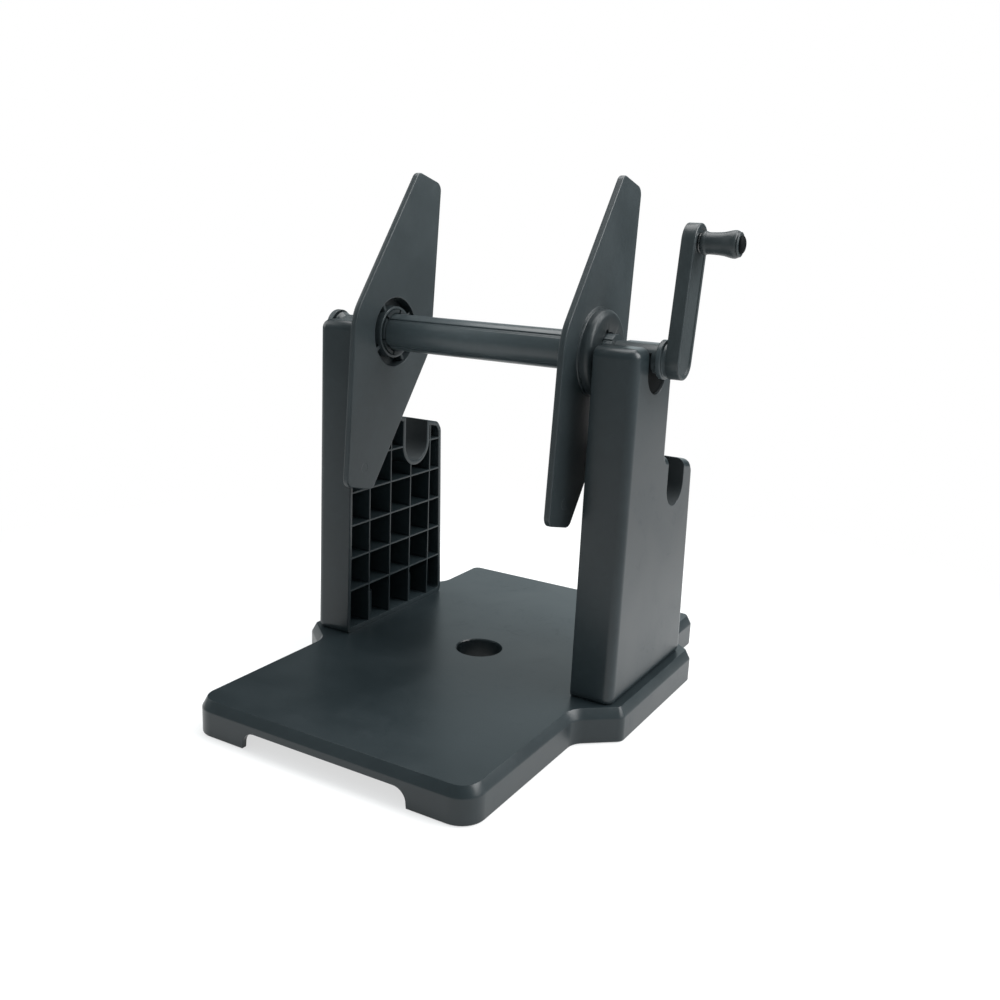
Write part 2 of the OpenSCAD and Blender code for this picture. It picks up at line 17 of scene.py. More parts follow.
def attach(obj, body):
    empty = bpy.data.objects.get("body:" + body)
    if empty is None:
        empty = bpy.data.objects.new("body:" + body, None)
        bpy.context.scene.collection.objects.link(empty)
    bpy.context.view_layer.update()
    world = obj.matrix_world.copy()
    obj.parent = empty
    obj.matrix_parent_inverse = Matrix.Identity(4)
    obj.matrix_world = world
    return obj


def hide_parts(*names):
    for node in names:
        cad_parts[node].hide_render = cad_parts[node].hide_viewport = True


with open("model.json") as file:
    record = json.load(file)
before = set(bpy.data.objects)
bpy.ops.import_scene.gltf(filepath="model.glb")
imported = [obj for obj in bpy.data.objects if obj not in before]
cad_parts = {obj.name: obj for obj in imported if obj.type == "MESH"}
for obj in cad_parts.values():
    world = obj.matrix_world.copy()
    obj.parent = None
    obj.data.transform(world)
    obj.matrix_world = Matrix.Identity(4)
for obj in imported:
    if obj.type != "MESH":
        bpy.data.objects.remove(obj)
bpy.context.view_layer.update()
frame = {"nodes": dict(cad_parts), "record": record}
MM = 0.001

# %% [markdown]
# The camera stands in front of the stand, to its right and a little above the shaft. Its
# place and lens were worked out from edges of the object in the photograph: a yaw, a pitch,
# a small roll and a focal length as a share of the picture's width. Blender wants the same
# as three axes, right, up and back, and a lens in millimetres.

# %% The camera
CAMERA_AT = np.array([262.56, -441.08, 228.22]) * MM
YAW, PITCH, ROLL = np.radians([29.903, -14.365, -2.438])
FOCAL_SHARE = 1.05364
SENSOR = 36.0

level = np.array([math.cos(YAW), math.sin(YAW), 0.0])
flat_ahead = np.array([-math.sin(YAW), math.cos(YAW), 0.0])
ahead = math.cos(PITCH) * flat_ahead + np.array([0.0, 0.0, math.sin(PITCH)])
down = np.cross(ahead, level)
right = math.cos(ROLL) * level + math.sin(ROLL) * down
up = math.sin(ROLL) * level - math.cos(ROLL) * down


def place_at(thing, side, top, back, at):
    """Turns a camera or lamp so that its own three axes lie along side, top and back."""
    pose = np.eye(4)
    pose[:3, 0], pose[:3, 1], pose[:3, 2], pose[:3, 3] = side, top, back, at
    thing.matrix_world = Matrix(pose.tolist())


camera = bpy.data.objects.new("camera", bpy.data.cameras.new("camera"))
bpy.context.scene.collection.objects.link(camera)
camera.data.sensor_width = SENSOR
camera.data.lens = SENSOR * FOCAL_SHARE
camera.data.clip_start, camera.data.clip_end = 0.01, 20.0
place_at(camera, right, up, -ahead, CAMERA_AT)
bpy.context.scene.camera = camera
bpy.context.scene.view_settings.view_transform = "Standard"
print("lens", round(camera.data.lens, 2), "mm")

# %% [markdown]
# Shader nodes can be joined by hand, but then a formula is spread over many lines. This
# small class wraps one socket, so that a mask is written as arithmetic, and one method adds
# any other node: its settings come first, then the values or wires of its sockets.


# %% Shader nodes as expressions
class Wire:
    """One socket of a material's node tree. Sums and products on it add Math nodes."""

    def __init__(self, tree, socket=None):
        self.tree = tree
        self.socket = socket

    def node(self, kind, settings=(), values=(), out=0):
        """Adds a node of this kind and returns the wire of its output, by number or name."""
        made = self.tree.nodes.new(kind)
        for name, value in dict(settings).items():
            setattr(made, name, value)
        for name, value in dict(values).items():
            if isinstance(value, Wire):
                self.tree.links.new(value.socket, made.inputs[name])
            else:
                made.inputs[name].default_value = value
        return Wire(self.tree, made.outputs[out] if len(made.outputs) else None)

    def maths(self, operation, first, second):
        """A Math node, named by its operation, on two values or wires."""
        return self.node("ShaderNodeMath", {"operation": operation}, {0: first, 1: second})

    def __add__(self, other):
        return self.maths("ADD", self, other)

    __radd__ = __add__

    def __sub__(self, other):
        return self.maths("SUBTRACT", self, other)

    def __rsub__(self, other):
        return self.maths("SUBTRACT", other, self)

    def __mul__(self, other):
        return self.maths("MULTIPLY", self, other)

    __rmul__ = __mul__

    def ramp(self, low, high, start=0.0, end=1.0):
        """Runs from start to end, softly, while this value goes from low to high."""
        return self.node(
            "ShaderNodeMapRange",
            {"interpolation_type": "SMOOTHSTEP"},
            {"Value": self, "From Min": low, "From Max": high, "To Min": start, "To Max": end},
        )

    def blend(self, first, second):
        """A colour that goes from first to second as this value goes from 0 to 1."""
        return self.node(
            "ShaderNodeMix",
            {"data_type": "RGBA"},
            {0: self, 6: (*first, 1.0), 7: (*second, 1.0)},
            out=2,
        )


def noise(place, scale, detail=2.0, distortion=0.0):
    """Soft random values with about scale bumps to the metre."""
    return place.node(
        "ShaderNodeTexNoise",
        {"noise_dimensions": "3D"},
        {"Vector": place, "Scale": scale, "Detail": detail, "Distortion": distortion},
    )


def new_material(name):
    """An empty material, and the wire that its nodes start from."""
    material = bpy.data.materials.new(name)
    material.use_nodes = True
    material.node_tree.nodes.clear()
    return material, Wire(material.node_tree)


def background_seen(start):
    """1 for rays that come from the camera, a mirror or glass, which should see white."""
    camera_ray, glossy_ray, glass_ray = (
        start.node("ShaderNodeLightPath", out=name)
        for name in ("Is Camera Ray", "Is Glossy Ray", "Is Transmission Ray")
    )
    return camera_ray + glossy_ray + glass_ray


print("shader helpers: Wire, noise, new_material, background_seen")

# %% [markdown]
# Black moulded plastic isn't flat black. The mould is etched, so the surface has a very
# fine grain, its tone drifts a little where the melt flowed, and edges that hands rub are
# smoother and a shade lighter. The grain is a bump of less than a hundredth of a millimetre,
# and the drift and the rubbing change colour and roughness. An attribute called edge, which
# each new piece carries, says where its rounded edges are, and a second one says which walls
# lie inside the notches. There the colour is made much darker, a painted shade for the deep
# shadow in the notches, and the plastic is made rougher, so that it shows little gloss.


# %% Moulded plastic
TONE_DRIFT, ROUGHNESS_DRIFT = 0.16, 0.03


def moulded(name, colour, roughness, grain_mm=0.45, grain_depth_mm=0.008, specular=0.4, dent=None):
    """Moulded plastic. Its tone lies between 0.72 and 1.28 of the colour: slow clouds move it
    most, the grain, rubbed streaks and worn edges less, and on the notch walls it is darkest,
    a painted shade, and roughest. dent is a function that gives the depth of a mark, counted in
    grains."""
    material, start = new_material(name)
    place = start.node("ShaderNodeTexCoord", out="Object")
    edge = start.node("ShaderNodeAttribute", {"attribute_name": "edge"}, out="Fac")
    cloud = noise(place, 26.0, 3.0, 0.4)
    streak = noise(place, 140.0, 4.0, 1.5)
    grain = noise(place, 1.0 / (grain_mm * MM), 2.0)
    rub = streak.ramp(0.52, 0.72) * cloud.ramp(0.4, 0.65)
    notch_shade = start.node("ShaderNodeAttribute", {"attribute_name": "notch_shade"}, out="Fac")
    worn = edge * streak.ramp(0.3, 0.7, 0.35, 1.0)
    drifting = cloud.ramp(0.3, 0.7, 0.5 - TONE_DRIFT, 0.5 + TONE_DRIFT)
    # Painted shade: on the notch walls the tone drops to its darkest end, for the shadow there.
    tone = drifting + grain * 0.12 - 0.06 + rub * 0.14 + worn * 0.2 - notch_shade * 0.9
    dark = [c * 0.72 for c in colour]
    pale = [c * 1.28 + 0.002 for c in colour]
    height = grain + streak * 0.3
    if dent is not None:
        height = height - dent(place)
    bump = start.node(
        "ShaderNodeBump", values={"Strength": 1.0, "Distance": grain_depth_mm * MM, "Height": height}
    )
    rough = cloud.ramp(0.3, 0.7, roughness - ROUGHNESS_DRIFT, roughness + ROUGHNESS_DRIFT)
    shader = start.node(
        "ShaderNodeBsdfPrincipled",
        values={
            "Base Color": tone.blend(dark, pale),
            "Roughness": rough + rub * 0.05 - worn * 0.02 + notch_shade * 0.4,
            "Normal": bump,
            "Specular IOR Level": specular,
        },
    )
    start.node("ShaderNodeOutputMaterial", values={"Surface": shader})
    return material


MARK_AT, MARK_IN, MARK_OUT, MARK_GRAINS = (0.0, -0.0247, 0.1088), 0.0023, 0.00255, 9.0


def gate_mark(place):
    """A round flat dent of 2.4 mm radius near one end of each flange, where the mould's
    pin stood. It is nine grains deep, and the same on both sides of the plate, because the
    distance from its middle is measured square to the shaft, with the x of each point at 0."""
    across = place.node(
        "ShaderNodeVectorMath", {"operation": "MULTIPLY"}, {0: place, 1: (0.0, 1.0, 1.0)}
    )
    away = place.node(
        "ShaderNodeVectorMath", {"operation": "DISTANCE"}, {0: across, 1: MARK_AT}, out=1
    )
    return away.ramp(MARK_IN, MARK_OUT, MARK_GRAINS, 0.0)


# %% The plastics and the rubber
FINISHES = {
    "stand_plastic": moulded("stand_plastic", (0.0102, 0.0156, 0.018), 0.33, specular=0.36),
    "flange_plastic": moulded(
        "flange_plastic", (0.0182, 0.0242, 0.0266), 0.38, specular=0.34, dent=gate_mark
    ),
    "shaft_plastic": moulded("shaft_plastic", (0.034, 0.044, 0.048), 0.36, grain_depth_mm=0.006),
    "crank_plastic": moulded("crank_plastic", (0.0185, 0.0242, 0.0262), 0.38, specular=0.34),
    # The bushes are black plastic, and their colour is set darker still: painted shade, so that in
    # the notches they look as black as a shaded hollow. The handle's cap shows this dark colour as
    # its own.
    "bush_plastic": moulded("bush_plastic", (0.003, 0.0038, 0.0042), 0.6, specular=0.04),
    "pad_rubber": moulded("pad_rubber", (0.02, 0.02, 0.02), 0.7, grain_mm=0.8, grain_depth_mm=0.03),
}
sleeve_plastic = moulded("sleeve_plastic", (0.0122, 0.0165, 0.0185), 0.4, specular=0.3)
print("plastics:", ", ".join(FINISHES), "and sleeve_plastic")

# %% [markdown]
# The screws, the handle's pin and its washer are zinc-plated steel. Plating isn't an even
# mirror: it is cloudy, so both its colour and its roughness follow one fine noise.


# %% Zinc-plated steel
def plated(name):
    """A metal whose colour and roughness run between two values, by the same noise."""
    material, start = new_material(name)
    place = start.node("ShaderNodeTexCoord", out="Object")
    cloud = noise(place, 300.0, 4.0, 0.5)
    shader = start.node(
        "ShaderNodeBsdfPrincipled",
        values={
            "Base Color": cloud.ramp(0.3, 0.7).blend((0.5, 0.51, 0.52), (0.62, 0.62, 0.6)),
            "Metallic": 1.0,
            "Roughness": cloud.ramp(0.3, 0.7, 0.22, 0.38),
        },
    )
    start.node("ShaderNodeOutputMaterial", values={"Surface": shader})
    return material


FINISHES["steel"] = plated("steel")
print("metal: steel")

# %% [markdown]
# Every CAD node gets its finish, also those that a finer piece will stand for. Screws, pads,
# bushes, pin, washer and the two slit sleeves keep their CAD shapes and show these finishes.

# %% The finishes on the CAD nodes
for part in frame["record"]["subparts"]:
    materials = frame["nodes"][part["node"]].data.materials
    materials.clear()
    collet = part["node"].endswith("_collet")
    materials.append(sleeve_plastic if collet else FINISHES[part["material_slot"]])

# %% [markdown]
# Nearly every piece here is a plate with a rounded outline and rounded edges. Such a plate
# could be cut with booleans and bevelled, but bevels break down where curved edges meet. So
# the outline is worked out once for each depth, always with the same number of points, and
# neighbouring outlines are joined with quads: the roundness of an edge is then just the way
# that the outline draws in from one depth to the next.


# %% Outlines with rounded corners
LEAST_R = 0.02
SQUARE = (LEAST_R, 1)


def unit(vectors):
    """Each vector divided by its own length."""
    return vectors / np.linalg.norm(vectors, axis=-1, keepdims=True)


def outline(corners, inset=0.0, stations=None):
    """A closed outline with rounded corners, drawn in by inset, as an array of points.

    corners has a row for each corner, anticlockwise: two coordinates, a radius and the
    number of steps of its arc. A row that ends in SQUARE keeps its corner as good as
    square, and a half circle is two corners whose arcs almost touch. inset is one number,
    or one for each edge, which starts at the corner of the same row. Each edge's line moves
    inwards by its inset, and two neighbouring lines meet in a new corner. The arc's centre
    lies on the line that halves that corner, at the radius divided by the cosine of half
    the turn, so that the arc touches both lines. The radius shrinks by the inset at an
    outward corner and grows at an inward one. A straight stretch gets a point close to each
    end, which keeps its shading flat, and points at its stations, the distances from its
    own first corner.
    """
    rows = np.asarray(corners, float)
    spots, radii, steps = rows[:, :2], rows[:, 2], rows[:, 3].astype(int)
    insets = np.broadcast_to(np.asarray(inset, float), (len(rows),))
    along = unit(np.roll(spots, -1, 0) - spots)
    left = np.column_stack([-along[:, 1], along[:, 0]])
    along_before, left_before = np.roll(along, 1, 0), np.roll(left, 1, 0)
    insets_before = np.roll(insets, 1)
    sides = np.stack([left_before, left], axis=1)
    reach = np.einsum("ijk,ik->ij", sides, spots) + np.column_stack([insets_before, insets])
    meeting = np.linalg.solve(sides, reach[..., None])[..., 0]
    turn = np.arctan2(
        along_before[:, 0] * along[:, 1] - along_before[:, 1] * along[:, 0],
        (along_before * along).sum(1),
    )
    side = np.sign(turn)
    radius = np.maximum(radii - side * (insets + insets_before) / 2.0, LEAST_R)
    centre = meeting + unit(along - along_before) * (radius / np.cos(turn / 2.0))[:, None]
    arcs = []
    for i in range(len(rows)):
        angle = turn[i] * np.linspace(0.0, 1.0, steps[i] + 1)
        first = -side[i] * radius[i] * left_before[i]
        square = np.array([-first[1], first[0]])
        arcs.append(centre[i] + np.outer(np.cos(angle), first) + np.outer(np.sin(angle), square))
    points = []
    for i, arc in enumerate(arcs):
        end, start = arc[-1], arcs[(i + 1) % len(arcs)][0]
        gap = start - end
        near = min(0.25, np.linalg.norm(gap) / 3.0) * along[i]
        points += [arc, end[None] + near]
        if stations is not None and len(stations[i]):
            points.append(spots[i] + np.outer(stations[i], along[i]) + insets[i] * left[i])
        points.append(start[None] - near)
    return np.vstack(points)


sample = outline([[-5, -5, 2, 8], [5, -5, 2, 8], [5, 5, 2, 8], [-5, 5, 2, 8]], 1.0)
print("a square of 10 mm drawn in by 1:", len(sample), "points,", np.ptp(sample, axis=0), "mm")

# %% [markdown]
# A round hole in a plate with a straight-sided outline is a ring of quads between a circle
# and the outline. The quads come out even where both have their points on the same rays
# from the middle, so the long edges get extra points, called stations, on such rays.


# %% Stations on even rays
def even_stations(corners, step):
    """For each edge, the distances from its corner at which rays from the middle, step
    degrees apart, cross it. An arc takes up its radius times the tangent of half its turn,
    and rays that cross there, or close to there, are left out."""
    rows = np.asarray(corners, float)
    spots = rows[:, :2]
    ends = np.roll(spots, -1, 0)
    along = unit(ends - spots)
    found = []
    for i in range(len(rows)):
        length = np.linalg.norm(ends[i] - spots[i])
        first, last = (math.atan2(p[1], p[0]) for p in (spots[i], ends[i]))
        span = (last - first) % (2.0 * math.pi)
        ray = first + np.arange(math.radians(step), span, math.radians(step))
        way = np.column_stack([np.cos(ray), np.sin(ray)])
        cross = spots[i, 0] * way[:, 1] - spots[i, 1] * way[:, 0]
        distance = -cross / (along[i, 0] * way[:, 1] - along[i, 1] * way[:, 0])
        margins = []
        for k in (i, (i + 1) % len(rows)):
            bend = math.acos(np.clip(along[k] @ along[k - 1], -1, 1))
            margins.append(1.3 * rows[k, 2] * math.tan(bend / 2.0) + 4.0)
        found.append(distance[(distance > margins[0]) & (distance < length - margins[1])])
    return found


# %% Stacks of outlines
def stack(loops, depths):
    """Outlines at their depths, as rings of points: depth first, then the two coordinates."""
    depths = np.asarray(depths, float)
    rings = np.empty((len(loops), len(loops[0]), 3))
    rings[..., 0] = depths.reshape(len(loops), -1)
    rings[..., 1:] = np.array(loops)
    return rings


def arc_levels(depth, radius, steps, rising=True):
    """The quarter circle of a rounded edge: depths that end at depth, and their insets."""
    angle = np.linspace(0.0, math.pi / 2.0, steps + 1)
    gone, drawn = radius * (1.0 - np.sin(angle)), radius * (1.0 - np.cos(angle))
    return (depth - gone if rising else depth + gone), drawn


print("a rounded edge of 1 mm:", np.round(arc_levels(1.0, 1.0, 2), 2).tolist())

# %% [markdown]
# Rings of points become a mesh in one way everywhere. Points in the same place of
# neighbouring rings are joined, and the first and last ring are closed with one flat face
# each, or joined to each other where the shape is a tube. Whether the faces point outwards
# is read off the volume that they enclose: if it comes out negative, they are all turned.


# %% Rings to meshes
def skin(rings, closed=False, rounded=(), painted_shade=None):
    """Joins rings, rows by columns by 3, with quads. Returns points, faces, and two marks
    for each point: 1 in the rounded rows, and 1 where the given mask of painted shade, rows
    by columns, is true."""
    rows, columns = rings.shape[:2]
    grid = np.arange(rows * columns).reshape(rows, columns)
    ahead_of = np.roll(grid, -1, 0) if closed else grid[1:]
    behind = grid if closed else grid[:-1]
    quads = np.stack(
        [behind, np.roll(behind, -1, 1), np.roll(ahead_of, -1, 1), ahead_of], axis=-1
    ).reshape(-1, 4)
    points = rings.reshape(-1, 3)
    corner = [points[quads[:, k]] for k in range(4)]
    volume = (corner[0] * (np.cross(corner[1], corner[2]) + np.cross(corner[2], corner[3]))).sum()
    faces = quads.tolist()
    if not closed:
        for cap in (grid[0][::-1], grid[-1]):
            loop = points[cap]
            volume += (loop[0] * np.cross(loop[1:-1], loop[2:])).sum()
            faces.append(cap.tolist())
    if volume < 0.0:
        faces = [face[::-1] for face in faces]
    marks = np.zeros((rows, columns, 2))
    marks[list(rounded), :, 0] = 1.0
    if painted_shade is not None:
        marks[..., 1] = painted_shade
    return points, faces, marks.reshape(-1, 2)


# %% [markdown]
# Round pieces and ribs come from the same rings. A turned shape carries its section round
# an axis, and a rib carries its section straight on. Ribs have to end just inside the wall
# that they meet, so their ends are read off the wall's own outline.


# %% Turned shapes, bars and their ends
def turned(section, at=(0.0, 0.0), axis=0, steps=72):
    """A turned shape: the section, rows of distance along the axis, radius, corner radius
    and arc steps, is carried round the axis, which passes through at. Where the section
    touches the axis, it is left open there and closed by a small flat face."""
    loop = outline(section)
    touches = loop[:, 1] < 0.12
    closed = not touches.any()
    if not closed:
        loop = loop[~touches]
    angle = np.linspace(0.0, 2.0 * math.pi, steps, endpoint=False)
    rings = np.empty((len(loop), steps, 3))
    rings[..., axis] = loop[:, :1]
    others = [k for k in range(3) if k != axis]
    rings[..., others[0]] = at[0] + loop[:, 1:2] * np.cos(angle)
    rings[..., others[1]] = at[1] + loop[:, 1:2] * np.sin(angle)
    return skin(rings, closed)


def bar(start, end, section):
    """A straight bar between two points of a plane. The section's first coordinate is the
    depth, square to the plane, and its second lies across the bar."""
    start, end = np.asarray(start, float), np.asarray(end, float)
    along = unit(end - start)
    across = np.array([-along[1], along[0]])
    flat = section[:, 1:2] * across
    return skin(stack([start + flat, end + flat], [section[:, 0], section[:, 0]]))


def spans(loops, level_at, axis):
    """The stretches of a line inside closed loops of points, where the line keeps one
    coordinate at level_at: its crossings with all the edges, sorted and taken two by two."""
    cuts = []
    for loop in loops:
        after = np.roll(loop, -1, 0)
        a, b = loop[:, axis] - level_at, after[:, axis] - level_at
        hit = (a > 0.0) != (b > 0.0)
        share = (a[hit] / (a[hit] - b[hit]))[:, None]
        cuts.append((loop[hit] + share * (after[hit] - loop[hit]))[:, 1 - axis])
    return np.sort(np.concatenate(cuts)).reshape(-1, 2)


print("a line through the sample square:", spans([sample], 0.0, 0).tolist(), "mm")


# %% A shell in its place
def moved(shell, scale=(1.0, 1.0, 1.0), shift=(0.0, 0.0, 0.0), tilt=0.0):
    """A shell scaled, turned about X by tilt degrees and shifted. One negative scale turns
    it inside out, so then its faces are turned back."""
    points, faces, marks = shell
    points = points * np.asarray(scale)
    c, s = math.cos(math.radians(tilt)), math.sin(math.radians(tilt))
    x, y, z = points.T
    points = np.column_stack([x, y * c + z * s, z * c - y * s])
    if np.prod(scale) < 0.0:
        faces = [face[::-1] for face in faces]
    return points + np.asarray(shift), faces, marks


# %% [markdown]
# One object may hold several closed shells that run into each other, as the ribs run into
# their wall. Shading is smooth, except across edges sharper than a given angle. Each piece
# says which CAD nodes it stands for, which material slot it has and on which body it rides.

# %% A piece from its shells
SHARP_DEGREES = 34.0


def add_piece(name, shells, material_slot, body, nodes):
    """One mesh object from several closed shells in millimetres, which stands for CAD nodes."""
    starts = np.cumsum([0] + [len(shell[0]) for shell in shells])
    points = np.vstack([shell[0] for shell in shells]) * MM
    faces = [[k + start for k in face] for shell, start in zip(shells, starts) for face in shell[1]]
    mesh = bpy.data.meshes.new(name)
    mesh.from_pydata(points.tolist(), [], faces)
    mesh.shade_smooth()
    mesh.set_sharp_from_angle(angle=math.radians(SHARP_DEGREES))
    # The second mark carries painted shade onto the notch walls.
    for k, mark in enumerate(("edge", "notch_shade")):
        values = np.concatenate([shell[2][:, k] for shell in shells]).astype(np.float32)
        mesh.attributes.new(mark, "FLOAT", "POINT").data.foreach_set("value", values)
    mesh.materials.append(FINISHES[material_slot])
    piece = bpy.data.objects.new(name, mesh)
    bpy.context.scene.collection.objects.link(piece)
    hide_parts(*nodes)
    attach(piece, body)
    print(name + ":", len(shells), "shells,", len(points), "points,", len(faces), "faces")


# %% [markdown]
# The base is one shallow moulding, open below. Seen from above its outline is a long tongue
# with a wing on either side under each upright. Its top edge is a flat slope, so there are
# two crisp creases where a soft rounding might be expected. The whole shell is one closed
# sweep: from the round hole over the top, down the slope and the wall, in under the wall,
# and back along the hollow underside to the hole's tube. The arch in the front wall is cut
# by lifting the lower rim there.

# %% The base's outline
BASE_TOP, CEILING, PAD_PROUD, WALL = 17.0, 14.0, 0.5, 2.6
FRONT, BACK, TONGUE_X, WING_X = -127.5, 117.0, 75.0, 93.0
HOLE_R, HOLE_TUBE_R = 11.7, 14.3
half_plan = np.array([
    [TONGUE_X, FRONT, 11.0, 10],
    [TONGUE_X, -38.5, 10.0, 8],
    [WING_X, -23.4, 5.0, 8],
    [WING_X, 63.7, 5.0, 8],
    [TONGUE_X, 78.8, 10.0, 8],
    [TONGUE_X, BACK, 6.0, 8],
])
plan = np.vstack([half_plan, half_plan[::-1] * [-1, 1, 1, 1]])
plan_stations = even_stations(plan, 3.5)
ARCH_HALF, ARCH_FLAT, ARCH_R, ARCH_TOP, FRONT_BAND = 44.25, 37.75, 6.5, 8.9, 17.5
climb = ARCH_FLAT + ARCH_R * np.sin(np.linspace(0.0, math.pi / 2.0, 9))
beside, above = [ARCH_HALF + 6.0, ARCH_HALF + 0.2], np.linspace(31.0, 5.0, 6)
half_front = np.concatenate([beside, climb[::-1], above])
plan_stations[-1] = np.concatenate([-half_front, half_front[::-1]]) + TONGUE_X
print("outline points:", len(outline(plan, 0.0, plan_stations)))


# %% The base's shell
def rim_height(points, lift):
    """How high the lower rim is: just over the ground, but in the arch's part of the front
    wall the arch's flat top, or at its ends a circle's arc, the root of the radius squared
    less the way past the flat squared. lift is added to it."""
    x = np.abs(points[:, 0])
    past = np.clip(x - ARCH_FLAT, 0.0, None)
    arc = ARCH_TOP - ARCH_R + np.sqrt(np.clip(ARCH_R**2 - past**2, 0.0, None))
    arched = (points[:, 1] < FRONT + FRONT_BAND) & (x < ARCH_HALF + 0.1)
    return np.where(arched, np.where(x < ARCH_FLAT, ARCH_TOP, arc), PAD_PROUD) + lift


def base_shell():
    """The closed sweep. Every ring is a circle about the hole or the outline drawn in."""
    outer = outline(plan, 0.0, plan_stations)
    ray = unit(outer)
    loops, heights = [], []

    def circle(radius, height):
        loops.append(ray * radius)
        heights.append(np.full(len(ray), height))

    def drawn_in(inset, height):
        loops.append(outline(plan, inset, plan_stations))
        heights.append(np.full(len(ray), height))

    def rim(inset, lift):
        loops.append(outline(plan, inset, plan_stations))
        heights.append(rim_height(loops[-1], lift))

    circle(HOLE_R, PAD_PROUD)
    for wider, lower in ((0.0, 0.9), (0.0, 0.55), (0.55, 0.0), (0.9, 0.0)):
        circle(HOLE_R + wider, BASE_TOP - lower)
    for inset, lower in ((3.1, 0.0), (2.75, 0.0), (2.53, 0.03), (2.38, 0.2)):
        drawn_in(inset, BASE_TOP - lower)
    for inset, lower in ((0.22, 4.2), (0.06, 4.54), (0.0, 4.85), (0.0, 5.2)):
        drawn_in(inset, BASE_TOP - lower)
    for inset, lift in ((0.0, 0.6), (0.0, 0.25), (0.08, 0.07), (0.25, 0.0)):
        rim(inset, lift)
    for inset, lift in ((WALL - 0.25, 0.0), (WALL, 0.25)):
        rim(inset, lift)
    drawn_in(WALL, CEILING - 0.4)
    drawn_in(WALL + 0.4, CEILING)
    circle(HOLE_TUBE_R + 0.4, CEILING)
    circle(HOLE_TUBE_R, CEILING - 0.4)
    circle(HOLE_TUBE_R, PAD_PROUD)
    rings = np.empty((len(loops), len(ray), 3))
    rings[..., :2] = np.array(loops)
    rings[..., 2] = np.array(heights)
    hole_mouth, slope, lower_rim = (2, 3), range(6, 12), (14, 15, 16)
    return skin(rings, closed=True, rounded=(*hole_mouth, *slope, *lower_rim))


# %% The base's ribs and posts
BASE_RIB_LOW, BASE_RIB_HALF, BASE_RIB_PITCH = 9.5, 0.9, 25.0
SCREW_X, SCREW_YS = 76.5, (1.75, 38.75)
SCREW_AT = [(x, y) for x in (-SCREW_X, SCREW_X) for y in SCREW_YS]
SCREW_POST_R, SCREW_HEAD_R, SCREW_HOLE_R, SCREW_SEAT = 5.9, 4.1, 2.2, 8.75
PAD_AT = [(x, y) for x in (-60.0, 60.0) for y in (-112.5, 102.0)]
PAD_POST_R, PAD_SOCKET_R, PAD_SEAT = 9.6, 8.04, 2.05


def rib_section(low, high, half_low, half_high, radius):
    """A rib cut across, from its free edge at low, with small round corners, to the wall
    that carries it at high, where its corners are hidden. It may be thicker at the wall."""
    return outline([
        [low, -half_low, radius, 3], [high, -half_high, *SQUARE],
        [high, half_high, *SQUARE], [low, half_low, radius, 3],
    ])


def base_inside():
    """Ribs across the hollow, and round posts for the pads and screws, all up into the top.
    The ribs end inside the outer wall and inside the wall of the hole's tube."""
    tube_reach = HOLE_TUBE_R - 0.9
    loop, tube = outline(plan, WALL), tube_reach * unit(outline(plan, 0.0))
    section = rib_section(BASE_RIB_LOW, CEILING + 0.6, BASE_RIB_HALF, BASE_RIB_HALF, 0.3)
    columns, rows = np.arange(-3.5, 4.0) * BASE_RIB_PITCH, np.arange(-5, 5) * BASE_RIB_PITCH
    shells = []
    for axis, places in ((0, columns), (1, rows)):
        for at in places:
            cuts = spans([loop, tube] if abs(at) < tube_reach else [loop], at, axis)
            for low, high in cuts:
                ends = np.array([[at, low - 1.0], [at, high + 1.0]])
                points, faces, marks = bar(*(ends if axis == 0 else ends[:, ::-1]), section)
                shells.append((np.roll(points, -1, axis=1), faces, marks))
    high = CEILING + 1.0
    pad_post = [
        [high, 0, *SQUARE], [high, PAD_POST_R, *SQUARE],
        [PAD_PROUD, PAD_POST_R, 0.3, 3], [PAD_PROUD, PAD_SOCKET_R, 0.1, 1],
        [PAD_SEAT, PAD_SOCKET_R, *SQUARE], [PAD_SEAT, 0, *SQUARE],
    ]
    screw_post = [
        [high, SCREW_HOLE_R, *SQUARE], [high, SCREW_POST_R, *SQUARE],
        [PAD_PROUD, SCREW_POST_R, 0.3, 3], [PAD_PROUD, SCREW_HEAD_R, 0.3, 3],
        [SCREW_SEAT, SCREW_HEAD_R, *SQUARE], [SCREW_SEAT, SCREW_HOLE_R, *SQUARE],
    ]
    shells += [turned(pad_post, at, 2, 48) for at in PAD_AT]
    shells += [turned(screw_post, at, 2, 40) for at in SCREW_AT]
    return shells


add_piece("base_moulding", [base_shell()] + base_inside(), "stand_plastic", "stand", ["base_plate"])

# %% [markdown]
# Each upright is a hollow moulding, closed outside and open towards the roll, stiffened by
# a grid of thin ribs. Its outer edge is generously rounded all round, and the rounding runs
# on under its foot, which leaves a soft dark line where it meets the base. A deep notch at
# the top takes the bush, and a lower one behind it parks a second shaft. The notches have
# walls of their own, and their edges are hardly rounded, so each edge of the outline draws
# in by its own amount. The ribs get thinner towards the rim, so that they leave the mould.

